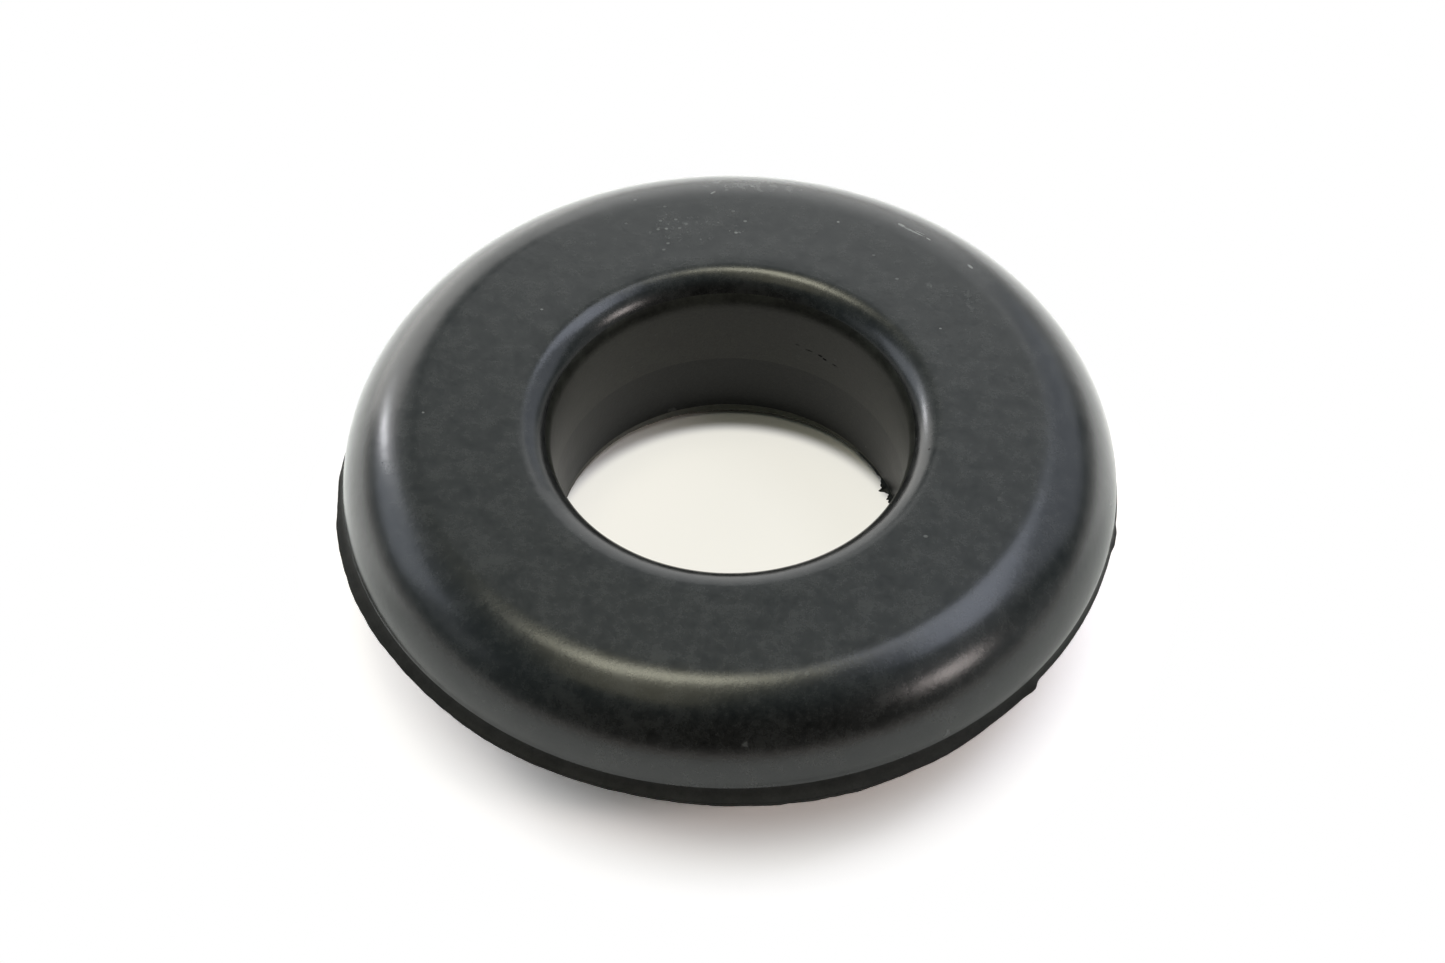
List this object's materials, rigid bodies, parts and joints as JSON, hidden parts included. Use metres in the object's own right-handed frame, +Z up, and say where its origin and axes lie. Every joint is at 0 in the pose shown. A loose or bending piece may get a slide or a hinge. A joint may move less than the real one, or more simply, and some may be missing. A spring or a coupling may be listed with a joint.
{
  "type": "rubber grommet",
  "caption": "Round moulded rubber grommet with a wide rounded upper flange, a panel groove, a smaller tapered lower flange and a smooth central bore.",
  "frame": {"origin": "on the axis of the bore, at the foot that the grommet stands on", "axes": "+Z up along the axis of the bore, from the lower flange's foot to the flat top of the upper flange; +X to the right and -Y to the front, where the untrimmed flash lip lies"},
  "size_m": [0.0372, 0.0375, 0.0092],
  "materials": {
    "black_rubber": "satin"
  },
  "bodies": {
    "root": {"grommet_body": "black_rubber"}
  },
  "joints": []
}
